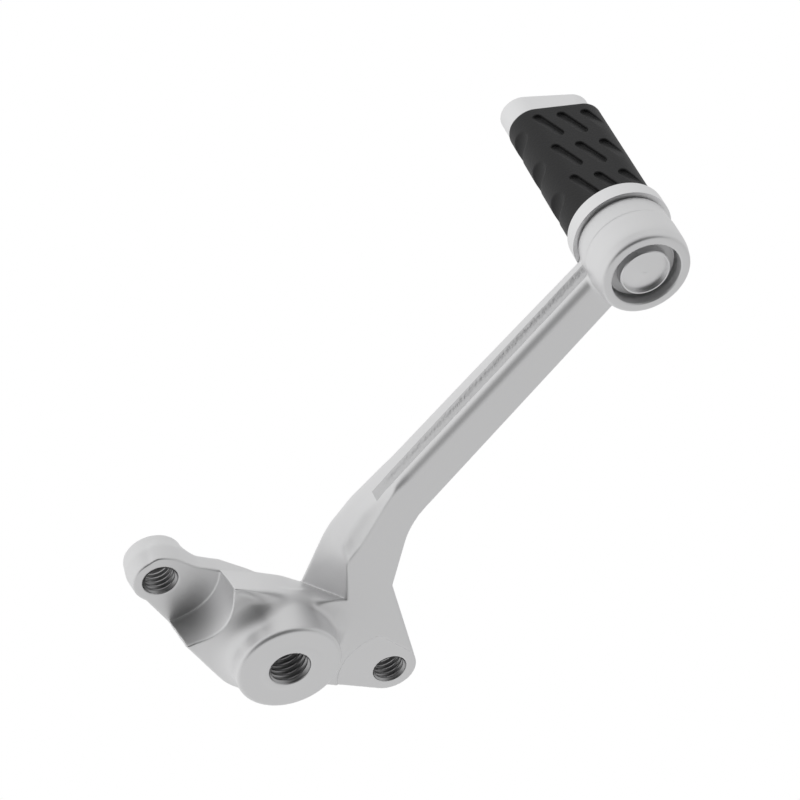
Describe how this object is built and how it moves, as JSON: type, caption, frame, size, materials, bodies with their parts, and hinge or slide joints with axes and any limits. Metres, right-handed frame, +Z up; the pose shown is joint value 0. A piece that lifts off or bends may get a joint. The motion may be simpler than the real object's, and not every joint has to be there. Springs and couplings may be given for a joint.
{
  "type": "motorcycle gear shift lever",
  "caption": "Motorcycle gear shift lever: a bent forged arm from a threaded hub and threaded lugs to a socket that holds a rubber-sleeved oval toe peg.",
  "frame": {"origin": "centre of the hub's threaded hole in the plane of the boss face", "axes": "+X along the arm to the toe peg, +Y from the boss face to the back of the lever, which is also the way the peg points, +Z up"},
  "size_m": [0.1484, 0.0624, 0.0739],
  "materials": {
    "forged_aluminium": "bead-blasted and lacquered silver",
    "turned_aluminium": "satin silver, finely turned",
    "black_rubber": "matt black with a fine grain",
    "washer_steel": "plain steel"
  },
  "bodies": {
    "root": {"lever_body": "forged_aluminium", "toe_peg": "turned_aluminium", "peg_rubber": "black_rubber", "retaining_washer": "washer_steel"}
  },
  "joints": []
}
